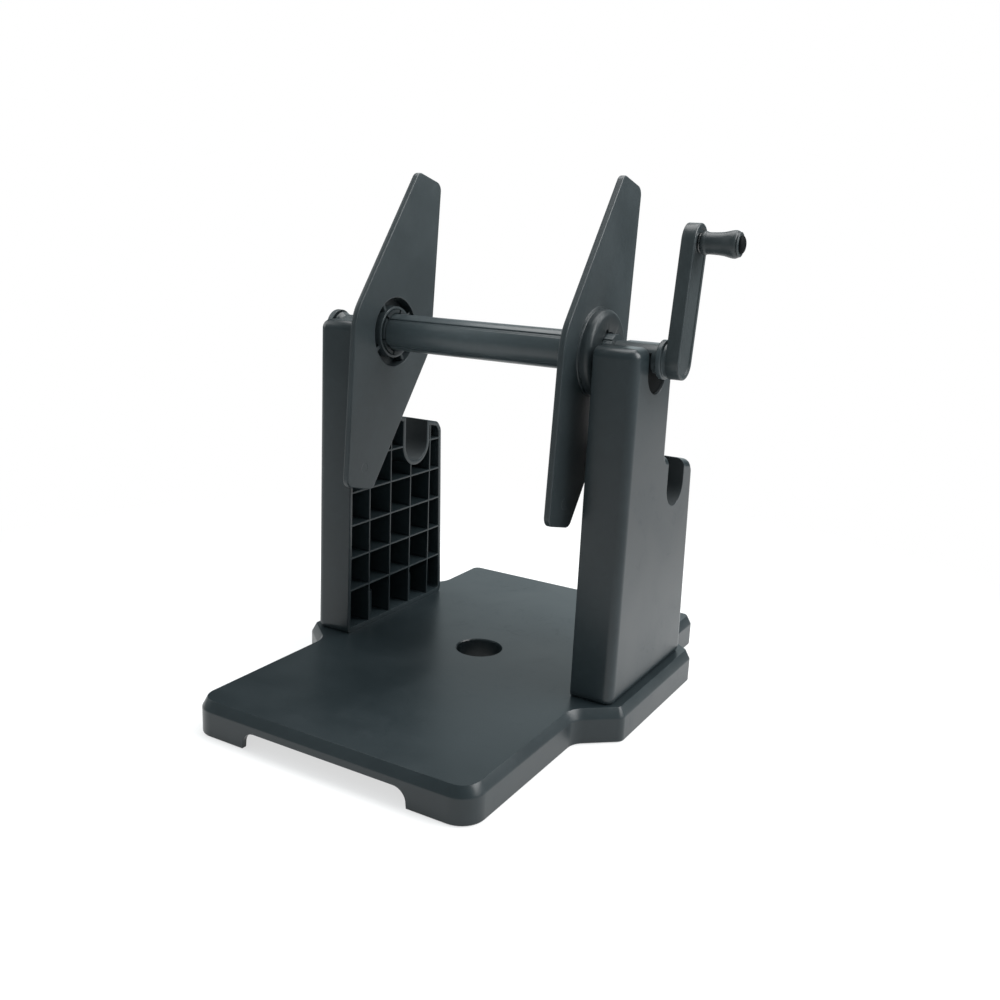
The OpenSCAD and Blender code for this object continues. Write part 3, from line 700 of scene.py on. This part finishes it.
# %% The uprights' outline
IN_X, OUT_X, EDGE_R, NOTCH_EDGE_R, CELL_FLOOR = 66.0, 87.0, 4.4, 0.35, 84.5
AXIS_Z = 175.6
NOTCH_R, LOW_Y, LOW_H, TOP_H, TOWER_H = 10.3, 34.3, 94.9, 153.3, 164.2
FRONT_LEAN, BACK_LEAN, SHOULDER_SLOPE = 2.2 / 164.2, 3.9 / 99.2, 7.3 / 35.3
profile = [
    [-25.9 - FRONT_LEAN * 1.6, -1.6, 5.0, 8],
    [62.7 + BACK_LEAN * 1.6, -1.6, 5.0, 8],
    [58.8, 99.2, 5.0, 5],
    [55.5, 103.8, 5.0, 5],
    [LOW_Y + NOTCH_R, 103.8 + SHOULDER_SLOPE * (55.5 - LOW_Y - NOTCH_R), NOTCH_EDGE_R, 2],
    [LOW_Y + NOTCH_R, LOW_H - NOTCH_R, NOTCH_R - 0.03, 16],
    [LOW_Y - NOTCH_R, LOW_H - NOTCH_R, NOTCH_R - 0.03, 16],
    [LOW_Y - NOTCH_R, 103.8 + SHOULDER_SLOPE * (55.5 - LOW_Y + NOTCH_R), NOTCH_EDGE_R, 2],
    [20.2, 111.1, 2.0, 8],
    [20.2, TOWER_H, 4.6, 8],
    [NOTCH_R, TOWER_H, NOTCH_EDGE_R, 2],
    [NOTCH_R, TOP_H - NOTCH_R, NOTCH_R - 0.03, 16],
    [-NOTCH_R, TOP_H - NOTCH_R, NOTCH_R - 0.03, 16],
    [-NOTCH_R, TOWER_H, NOTCH_EDGE_R, 2],
    [-23.7, TOWER_H, 4.6, 8],
]
notch_edges = np.array([i in (4, 5, 6, 10, 11, 12) for i in range(len(profile))])
foot_edge = np.arange(len(profile)) == 0
print("outline points:", len(outline(profile)))


# %% The uprights' shell
def upright_shell():
    """A right-hand upright's shell, from the cells' floor over the rim and the wall to the
    outer face, and the outline of its cells' wall. Depths run along the shaft. The foot's
    rounded edge starts below the base's top, and what lies below is pressed flat."""
    cell_inset = np.where(notch_edges, 2.4, np.where(foot_edge, 4.1, 2.5))
    depths, insets = [CELL_FLOOR, CELL_FLOOR - 0.3], [cell_inset + 0.3, cell_inset]
    for d, e in ((0.3, 0.0), (0.09, -0.09), (0.0, -0.3)):
        depths.append(IN_X + d)
        insets.append(cell_inset + e)
    for d, e in ((0.0, 0.3), (0.09, 0.09), (0.3, 0.0)):
        depths.append(IN_X + d)
        insets.append(np.full(len(profile), e))
    wall_row = len(depths) - 1
    rise, drawn = arc_levels(OUT_X, EDGE_R, 9)
    trimmed = arc_levels(OUT_X, NOTCH_EDGE_R, 9)[1]
    for k in range(len(rise)):
        depths.append(rise[k])
        insets.append(np.where(notch_edges, trimmed[k], drawn[k]))
    depths.append(OUT_X)
    insets.append(np.where(notch_edges, 2.0 * NOTCH_EDGE_R, EDGE_R + 0.5))
    loops = [outline(profile, inset) for inset in insets]
    rings = stack(loops, depths)
    rings[..., 2] = np.maximum(rings[..., 2], 0.0)
    across, height = rings[wall_row, :, 1], rings[wall_row, :, 2]
    low = (np.abs(across - LOW_Y) < NOTCH_R + 0.01) & (height > LOW_H - NOTCH_R - 0.01)
    top = (np.abs(across) < NOTCH_R + 0.01) & (height > TOP_H - NOTCH_R - 0.01)
    row = np.arange(len(depths))[:, None]
    # The notch walls are marked for painted shade, which darkens them as if in deep shadow.
    painted_shade = (low | top) & (row >= wall_row) & (row < len(depths) - 3)
    shell = skin(rings, rounded=range(2, len(depths) - 1), painted_shade=painted_shade)
    return shell, outline(profile, cell_inset)


shell, cell_wall = upright_shell()
print("an upright's shell:", len(shell[0]), "points")


# %% The uprights' ribs and bosses
RIB_YS, RIB_ZS = -7.5 + 18.5 * np.arange(0, 4), 23.4 + 17.7 * np.arange(0, 8)
RIM_HALF, FLOOR_HALF, BOSS_R, BOSS_TOP = 0.5, 0.8, 4.14, 15.2


def upright_ribs(cell_wall):
    """Upright and level ribs, thinner at the rim than at the cells' floor, and sunk a hair
    below the rim, each from wall to wall, and the two bosses."""
    shells = []
    for axis, places, sunk in ((0, RIB_YS, 0.03), (1, RIB_ZS, 0.07)):
        section = rib_section(IN_X + sunk, CELL_FLOOR + 0.4, RIM_HALF, FLOOR_HALF, 0.2)
        for at in places:
            for low_end, high_end in spans([cell_wall], at, axis):
                ends = np.array([[at, low_end - 0.8], [at, high_end + 0.8]])
                shells.append(bar(*(ends if axis == 0 else ends[:, ::-1]), section))
    boss = [
        [0.0, 0, *SQUARE], [0.0, BOSS_R, *SQUARE],
        [BOSS_TOP, BOSS_R, 0.4, 3], [BOSS_TOP, 0, *SQUARE],
    ]
    return shells + [turned(boss, (SCREW_X, y), 2, 40) for y in SCREW_YS]


upright = [shell] + upright_ribs(cell_wall)
for name, side in (("left", -1.0), ("right", 1.0)):
    shells = [moved(part, (side, 1.0, 1.0), (0.0, 0.0, BASE_TOP)) for part in upright]
    nodes = [name + "_upright", name + "_upright_head"]
    add_piece(name + "_upright_moulding", shells, "stand_plastic", "stand", nodes)

# %% [markdown]
# The shaft is a plain tube with four shallow long grooves, and the two journals that plug
# into it are turned shapes. A turned shape is one section carried round an axis. The
# section is itself an outline with rounded corners, so every shoulder of a journal has the
# small soft edge that a moulded part has.


# %% The shaft
SHAFT_R, SHAFT_END, GROOVE_HALF, GROOVE_DEPTH = 9.2, 66.7, 1.0, 0.5


def shaft_shell():
    """The tube between the uprights: a ring whose radius drops in four narrow grooves."""
    half_width = GROOVE_HALF / SHAFT_R
    angle = np.linspace(0.0, 2.0 * math.pi, 73)[:-1]
    near = np.array([-1.35, -1.12, -1.0, -0.9, -0.5, 0.0, 0.5, 0.9, 1.0, 1.12, 1.35]) * half_width
    drop = np.array([0.0, 0.03, 0.12, 1.0, 1.0, 1.0, 1.0, 1.0, 0.12, 0.03, 0.0]) * GROOVE_DEPTH
    middles = math.pi / 4.0 + np.arange(4) * math.pi / 2.0
    apart = np.abs((angle[:, None] - middles + math.pi) % (2.0 * math.pi) - math.pi).min(1)
    angle = angle[apart > 1.5 * half_width]
    radius = np.full(len(angle), SHAFT_R)
    angle = np.concatenate([angle, (middles[:, None] + near).ravel()])
    radius = np.concatenate([radius, np.tile(SHAFT_R - drop, 4)])
    order = np.argsort(angle)
    angle, radius = angle[order], radius[order]
    way = np.column_stack([np.cos(angle), np.sin(angle)])
    loops = [(radius - inset)[:, None] * way for inset in (0.4, 0.1, 0.0, 0.0, 0.1, 0.4)]
    ends = SHAFT_END - np.array([0.0, 0.1, 0.4])
    shell = skin(stack(loops, [*-ends, *ends[::-1]]), rounded=(1, 2, 3, 4))
    return moved(shell, shift=(0.0, 0.0, AXIS_Z))


add_piece("shaft_tube", [shaft_shell()], "shaft_plastic", "roller", ["roll_shaft"])


# %% The shaft's two ends
def along_shaft(section, side=1.0):
    """A shape turned round the shaft's axis, for the right end, or mirrored for the left."""
    return moved(turned(section, steps=80), (side, 1.0, 1.0), (0.0, 0.0, AXIS_Z))


PLUG_FROM, PLUG_R, NECK_R, COLLAR_R = 50.0, 6.3, 6.6, 8.8
FLARE_R, WAIST_R, LEFT_END = 8.1, 7.05, 95.0
CRANK_HUB_R, RIGHT_END = 7.6, 93.6
PLUG = [
    [PLUG_FROM, 0, *SQUARE], [PLUG_FROM, PLUG_R, 0.3, 2],
    [SHAFT_END, PLUG_R, *SQUARE], [SHAFT_END, NECK_R, *SQUARE],
]
LEFT_JOURNAL = PLUG + [
    [87.3, NECK_R, 2.0, 4], [88.9, 6.95, 3.0, 4], [90.5, FLARE_R, 0.3, 3],
    [90.5, WAIST_R, 0.3, 2], [91.5, WAIST_R, 0.3, 2], [91.5, COLLAR_R, 0.4, 4],
    [LEFT_END, COLLAR_R, 0.9, 6], [LEFT_END, 0, *SQUARE],
]
RIGHT_JOURNAL = PLUG + [
    [88.7, NECK_R, 0.2, 2], [88.7, COLLAR_R, 0.4, 4], [91.2, COLLAR_R, 0.6, 5],
    [91.2, CRANK_HUB_R, 0.3, 3], [RIGHT_END, CRANK_HUB_R, *SQUARE], [RIGHT_END, 0, *SQUARE],
]
for name, section, side in (("left", LEFT_JOURNAL, -1.0), ("right", RIGHT_JOURNAL, 1.0)):
    shell = along_shaft(section, side)
    add_piece(name + "_shaft_end", [shell], "shaft_plastic", "roller", [name + "_journal"])

# %% [markdown]
# The crank is a flat bar with round ends, a rounded outer edge, and a raised border round a
# shallow recess. The handle on it is turned: a slim neck, a belly near its end, and a dark
# cap. Its belly has no corners at all, so its section runs as a smooth curve through a few
# measured radii, with at each of them the slope of the line between its neighbours.

# %% The crank
CRANK_IN, CRANK_OUT, RECESS_DEPTH = 93.3, 99.6, 0.5
CRANK_LENGTH, CRANK_LEAN, ARM_R = 51.3, 8.4, 8.4
arm = [
    [ARM_R, -ARM_R, ARM_R - 0.01, 24],
    [ARM_R, CRANK_LENGTH + ARM_R, ARM_R - 0.01, 24],
    [-ARM_R, CRANK_LENGTH + ARM_R, ARM_R - 0.01, 24],
    [-ARM_R, -ARM_R, ARM_R - 0.01, 24],
]
rise, drawn = arc_levels(CRANK_OUT, 0.7, 5)
arm_depths = [
    *(CRANK_IN + np.array([0.0, 0.0, 0.09, 0.3])), *rise,
    *(CRANK_OUT - np.array([0.0, 0.0, 0.1, 0.35, RECESS_DEPTH, RECESS_DEPTH])),
]
arm_insets = [0.7, 0.3, 0.09, 0.0, *drawn, 0.9, 2.0, 2.15, 2.2, 2.35, 2.7]
arm_rings = stack([outline(arm, inset) for inset in arm_insets], arm_depths)
arm_shell = skin(arm_rings, rounded=range(1, len(arm_depths) - 1))
arm_shell = moved(arm_shell, shift=(0.0, 0.0, AXIS_Z), tilt=CRANK_LEAN)
add_piece("crank_bar", [arm_shell], "crank_plastic", "roller", ["crank_arm"])


# %% Smooth sections
def smooth_through(points, steps=6):
    """A curve through the points: between two of them a cubic, whose slope at each end is
    that of the line between the neighbours on both sides."""
    points = np.asarray(points, float)
    slope = np.gradient(points, axis=0)
    t = np.linspace(0.0, 1.0, steps, endpoint=False)[:, None]
    begin, leave = (1 + 2 * t) * (1 - t) ** 2, t * (1 - t) ** 2
    finish, arrive = t * t * (3 - 2 * t), -t * t * (1 - t)
    pieces = [
        begin * points[i] + leave * slope[i] + finish * points[i + 1] + arrive * slope[i + 1]
        for i in range(len(points) - 1)
    ]
    return np.vstack(pieces + [points[-1:]])


def turned_curve(curve, at):
    """Carries a fine section, distance and radius, round an axis along X through at."""
    angle = np.linspace(0.0, 2.0 * math.pi, 80, endpoint=False)
    rings = np.empty((len(curve), len(angle), 3))
    rings[..., 0] = curve[:, :1]
    rings[..., 1] = at[0] + curve[:, 1:2] * np.cos(angle)
    rings[..., 2] = at[1] + curve[:, 1:2] * np.sin(angle)
    return skin(rings)


print("a smooth section through 3 points:", len(smooth_through([[0, 0], [1, 1], [2, 0]])), "points")

# %% The handle
lean = math.radians(CRANK_LEAN)
KNOB_AT = (CRANK_LENGTH * math.sin(lean), AXIS_Z + CRANK_LENGTH * math.cos(lean))
KNOB_IN, KNOB_LENGTH, KNOB_R = 100.4, 17.0, 6.4
start_shares = [[0.0, 0.60], [0.0, 0.72], [0.006, 0.765], [0.025, 0.79], [0.085, 0.79]]
belly_shares = [
    [0.10, 0.79], [0.13, 0.75], [0.17, 0.735], [0.30, 0.74], [0.45, 0.76], [0.58, 0.80],
    [0.70, 0.87], [0.80, 0.925], [0.87, 0.93], [0.925, 0.88],
]
end_shares = [[0.94, 0.84], [0.955, 0.79], [0.97, 0.83], [0.985, 0.82], [1.0, 0.74], [1.0, 0.62]]
knob_shares = np.vstack([start_shares, smooth_through(belly_shares), end_shares])
knob_curve = knob_shares * [KNOB_LENGTH, KNOB_R] + [KNOB_IN, 0.0]
knob = turned_curve(knob_curve, KNOB_AT)
add_piece("knob_body", [knob], "crank_plastic", "handle", ["handle_knob"])

# %% The handle's cap
dome = [[0.05, 3.72], [0.2, 3.8], [0.5, 3.8], [0.95, 3.45], [1.35, 2.65], [1.55, 1.6], [1.6, 0.6]]
sunk = [[-1.0, 3.0], [-0.05, 3.05]]
cap_curve = np.vstack([sunk, smooth_through(dome, 4)]) + [KNOB_IN + KNOB_LENGTH, 0.0]
cap = turned_curve(cap_curve, KNOB_AT)
add_piece("knob_end_cap", [cap], "bush_plastic", "handle", ["knob_cap"])

# %% [markdown]
# A flange is a thin plate with two straight-sided blades and a round hub on its outer side.
# Seen from the roll the hub is a round recess with a tube in its middle, and four webs join
# the two. One closed sweep makes it all: from the tube's mouth into the recess, out over
# the flat side to the blade's edge, back over the other side and over the hub to the lip,
# where six short slots are let in. Circles and blade outlines have their points on the same
# rays from the shaft's axis.

# %% The flanges' outline
blade = np.array([
    [-19.65, -81.6, 4.7, 10],
    [1.85, -81.6, 4.7, 10],
    [34.2, -1.9, 25.0, 14],
    [19.65, 81.6, 4.7, 10],
    [-1.85, 81.6, 4.7, 10],
    [-34.2, 1.9, 25.0, 14],
])
blade_stations = even_stations(blade, 4.0)
TUBE_R, TUBE_OUT, RECESS_R, HUB_R, LIP_R = 11.49, 12.99, 17.3, 20.0, 9.7
PLATE, RECESS_FLOOR, HUB_DEPTH = 3.0, 6.4, 8.9
WEB_LOW, WEB_HALF, SLOT_DEPTH, SLOT_HALF_DEGREES = 1.5, 0.9, 1.6, 5.5
print("outline points:", len(outline(blade, 0.0, blade_stations)))


# %% The flanges
def flange_shells():
    """A flange whose inner face lies at depth 0, with its hub towards growing depth."""
    ray = unit(outline(blade, 0.0, blade_stations))
    around = np.degrees(np.arctan2(ray[:, 1], ray[:, 0]))
    slots = (np.abs((around + 30.0) % 60.0 - 30.0) < SLOT_HALF_DEGREES).astype(float)
    loops, depths = [], []

    def circles(*rows):
        for depth, radius in rows:
            loops.append(ray * radius)
            depths.append(depth)

    def blades(*rows):
        for depth, inset in rows:
            loops.append(outline(blade, inset, blade_stations))
            depths.append(depth)

    circles((0.3, TUBE_R), (0.0, TUBE_R + 0.3))
    circles((0.0, TUBE_OUT - 0.3), (0.09, TUBE_OUT - 0.09), (0.3, TUBE_OUT))
    circles((RECESS_FLOOR - 0.3, TUBE_OUT), (RECESS_FLOOR, TUBE_OUT + 0.3))
    circles((RECESS_FLOOR, RECESS_R - 0.4), (RECESS_FLOOR - 0.4, RECESS_R))
    circles((0.35, RECESS_R), (0.1, RECESS_R + 0.1), (0.0, RECESS_R + 0.35), (0.0, RECESS_R + 0.7))
    low, drawn = arc_levels(0.0, 0.6, 4, rising=False)
    blades((0.0, 1.0), *zip(low[::-1], drawn[::-1]))
    high, drawn = arc_levels(PLATE, 0.6, 4)
    blades(*zip(high, drawn), (PLATE, 1.0))
    circles((PLATE, HUB_R + 1.3), (PLATE + 0.1, HUB_R + 1.03), (PLATE + 0.3, HUB_R + 0.95))
    circles((PLATE + 0.6, HUB_R + 0.85), (PLATE + 0.8, HUB_R + 0.5))
    circles((PLATE + 0.8, HUB_R + 0.2), (PLATE + 1.0, HUB_R))
    rise, drawn = arc_levels(HUB_DEPTH, 3.0, 7)
    circles(*zip(rise, HUB_R - drawn), (HUB_DEPTH, HUB_R - 3.5))
    lip = LIP_R + SLOT_DEPTH * slots[:, None]
    circles((HUB_DEPTH, lip + 0.4), (HUB_DEPTH - 0.1, lip + 0.1), (HUB_DEPTH - 0.4, lip))
    circles((HUB_DEPTH - 1.5, lip), (HUB_DEPTH - 1.5, TUBE_R))
    rounded = (*range(0, 5), *range(9, 19), *range(20, 40))
    shells = [skin(stack(loops, depths), closed=True, rounded=rounded)]
    section = rib_section(WEB_LOW, RECESS_FLOOR + 0.4, WEB_HALF, WEB_HALF, 0.3)
    for angle in np.radians([45.0, 135.0, 225.0, 315.0]):
        way = np.array([math.cos(angle), math.sin(angle)])
        shells.append(bar(way * (TUBE_OUT - 0.6), way * (RECESS_R + 0.6), section))
    return shells


FLANGE_TILT, LEFT_FACE, RIGHT_FACE = 14.0, -56.6, 53.7
flange = flange_shells()
for name, face, side in (("left", LEFT_FACE, -1.0), ("right", RIGHT_FACE, 1.0)):
    shells = [moved(part, (side, 1.0, 1.0), (face, 0.0, AXIS_Z), FLANGE_TILT) for part in flange]
    node, body = name + "_flange", name + "_side"
    add_piece(node + "_moulding", shells, "flange_plastic", body, [node])

# %% [markdown]
# The floor is pale and plain. Near the stand a share of it is lit, which shows the soft
# shadow, and further out it turns to plain white, so that no horizon shows behind the object.


# %% The floor
FLOOR_R, WHITE_FROM, WHITE_AT, LIT_SHARE = 1.1, 0.16, 0.42, 0.35


def floor_material(name):
    """A floor that glows white for the camera and for mirrors, but less near the middle,
    where a share of it is lit by the lamps."""
    material, start = new_material(name)
    place = start.node("ShaderNodeTexCoord", out="Object")
    distance = place.node("ShaderNodeVectorMath", {"operation": "LENGTH"}, {0: place}, out=1)
    white = background_seen(start) * distance.ramp(WHITE_FROM, WHITE_AT, 1.0 - LIT_SHARE, 1.0)
    lit = start.node(
        "ShaderNodeBsdfPrincipled",
        values={"Base Color": (0.86, 0.86, 0.86, 1.0), "Roughness": 0.8, "Specular IOR Level": 0.1},
    )
    glow = start.node("ShaderNodeEmission", values={"Color": (1.0, 1.0, 1.0, 1.0), "Strength": 1.0})
    mixed = start.node("ShaderNodeMixShader", values={0: white, 1: lit, 2: glow})
    start.node("ShaderNodeOutputMaterial", values={"Surface": mixed})
    return material


turn = np.linspace(0.0, 2.0 * math.pi, 96, endpoint=False)
ring = np.column_stack([FLOOR_R * np.cos(turn), FLOOR_R * np.sin(turn), 0.0 * turn])
floor_mesh = bpy.data.meshes.new("floor")
floor_mesh.from_pydata(ring.tolist(), [], [list(range(len(ring)))])
floor = bpy.data.objects.new("floor", floor_mesh)
bpy.context.scene.collection.objects.link(floor)
floor_mesh.materials.append(floor_material("floor"))
print("floor radius", FLOOR_R, "m")

# %% [markdown]
# The light is that of a small product studio: a broad soft light above, a bright one to the
# right, which turns the right upright's outer face grey, and a weak one at the left, so that
# the faces towards the camera stay dark. The bright one stands high: a lower lamp would show
# as a white glare on the base's top, seen from the left at a low angle. Each lamp is a
# square that faces the middle of the stand.


# %% The lights
def soft_light(name, at, towards, size, power):
    """A square area light at a point in metres, turned towards another point."""
    lamp = bpy.data.lights.new(name, "AREA")
    lamp.shape = "SQUARE"
    lamp.size = size
    lamp.energy = power
    made = bpy.data.objects.new(name, lamp)
    bpy.context.scene.collection.objects.link(made)
    back = unit(np.array(at, float) - np.array(towards, float))
    side = unit(np.cross([0.0, 0.0, 1.0], back))
    place_at(made, side, np.cross(back, side), back, at)


AIM = (0.0, 0.0, 0.12)
soft_light("light_right", (0.98, 0.36, 0.9), AIM, 1.0, 27.0)
soft_light("light_above", (-0.1, 0.25, 1.1), AIM, 0.9, 12.0)
soft_light("light_left", (-0.9, -0.15, 0.6), AIM, 0.7, 4.0)
print("lights:", sorted(lamp.name for lamp in bpy.data.lights))

# %% [markdown]
# The world is white to the camera and gives a little light from everywhere. In reflections
# it is dimmer, with a brighter patch behind and to the left of the stand, which the base's
# satin top mirrors towards the camera. The floor is white in reflections too, but it ends
# not far from the stand, so the upright faces mirror the dimmer world over its edge.

# %% The world
world = bpy.data.worlds.new("world")
bpy.context.scene.world = world
world.use_nodes = True
world.node_tree.nodes.clear()
start = Wire(world.node_tree)
AMBIENT, SIDE_GLOW, BACK_GLOW, COOL_LIGHT = 0.6, 0.38, 1.0, (0.85, 0.97, 1.0)
GLOW_TOWARDS = tuple(unit(np.array([-0.3, 0.92, 0.25])).tolist())
seen = start.node("ShaderNodeLightPath", out="Is Camera Ray")
mirrored = background_seen(start) - seen
way = start.node("ShaderNodeTexCoord", out="Generated")
near_glow = way.node(
    "ShaderNodeVectorMath", {"operation": "DOT_PRODUCT"}, {0: way, 1: GLOW_TOWARDS}, out="Value"
)
round_glow = near_glow.ramp(0.55, 0.85)
glow = (1.0 - round_glow) * SIDE_GLOW + round_glow * near_glow.ramp(0.9, 0.99, 0.0, BACK_GLOW)
strength = seen + mirrored * glow + (1.0 - seen - mirrored) * AMBIENT
tint = seen.blend(COOL_LIGHT, (1.0, 1.0, 1.0))
sky = start.node("ShaderNodeBackground", values={"Color": tint, "Strength": strength})
start.node("ShaderNodeOutputWorld", values={"Surface": sky})
print("ambient", AMBIENT, "glow", SIDE_GLOW, "to", BACK_GLOW)
